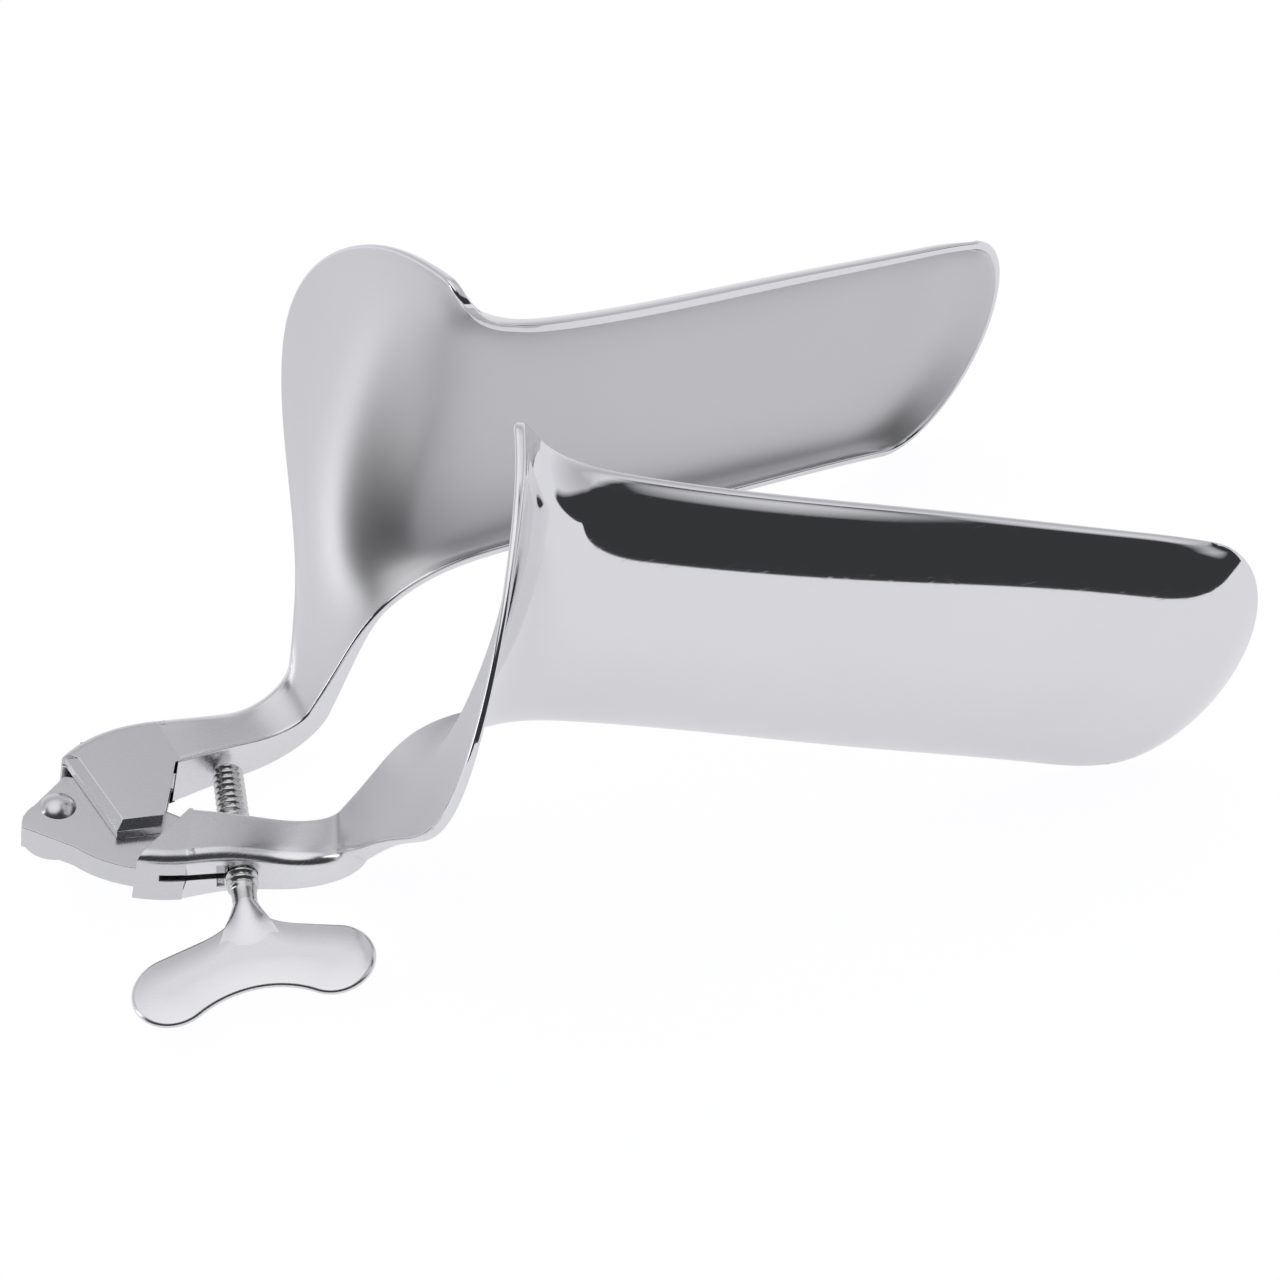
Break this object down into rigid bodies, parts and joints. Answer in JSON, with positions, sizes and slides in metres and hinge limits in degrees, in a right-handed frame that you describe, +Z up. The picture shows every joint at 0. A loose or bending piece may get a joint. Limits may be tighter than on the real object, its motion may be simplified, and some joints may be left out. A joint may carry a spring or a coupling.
{
  "type": "speculum",
  "caption": "Hinged trough-shaped blades with flared flanges, spread and held apart by a wing screw that passes through one arm; polished stainless steel examination speculum",
  "frame": {"origin": "centre of the bounding box, on the table the speculum lies on", "axes": "+X along the blades towards their tips, +Z up from the table, +Y towards the half without the screw"},
  "size_m": [0.158, 0.0878, 0.069],
  "materials": {
    "polished_steel": "polished stainless steel",
    "satin_steel": "satin stainless steel"
  },
  "bodies": {
    "near_blade": {"near_half": "polished_steel", "hinge_rivet": "satin_steel"},
    "far_blade": {"far_half": "polished_steel"},
    "screw": {"screw_shank": "satin_steel"},
    "wing": {"wing_neck": "satin_steel", "wing_plate": "polished_steel"}
  },
  "joints": [
    {"name": "blade_hinge", "type": "hinge", "parent": "near_blade", "child": "far_blade", "pos_m": [-0.0735, 0, 0.01192], "axis": [0.3265, 0, 0.9452], "range_deg": [-28.7, 7]},
    {"name": "screw_feed", "type": "slide", "parent": "near_blade", "child": "screw", "axis": [0.0816, 0.9963, -0.0282], "range_m": [-0.01168, 0.00286]},
    {"name": "wing_turn", "type": "hinge", "parent": "screw", "child": "wing", "pos_m": [-0.0524, -0.00569, 0.00484], "axis": [0.0816, 0.9963, -0.0282], "range_deg": [-3891.4, 949.9]}
  ],
  "couplings": [
    {"joint": "screw_feed", "follows": "blade_hinge", "m_per_rad": 0.0233},
    {"joint": "wing_turn", "follows": "blade_hinge", "ratio": 135.55}
  ]
}
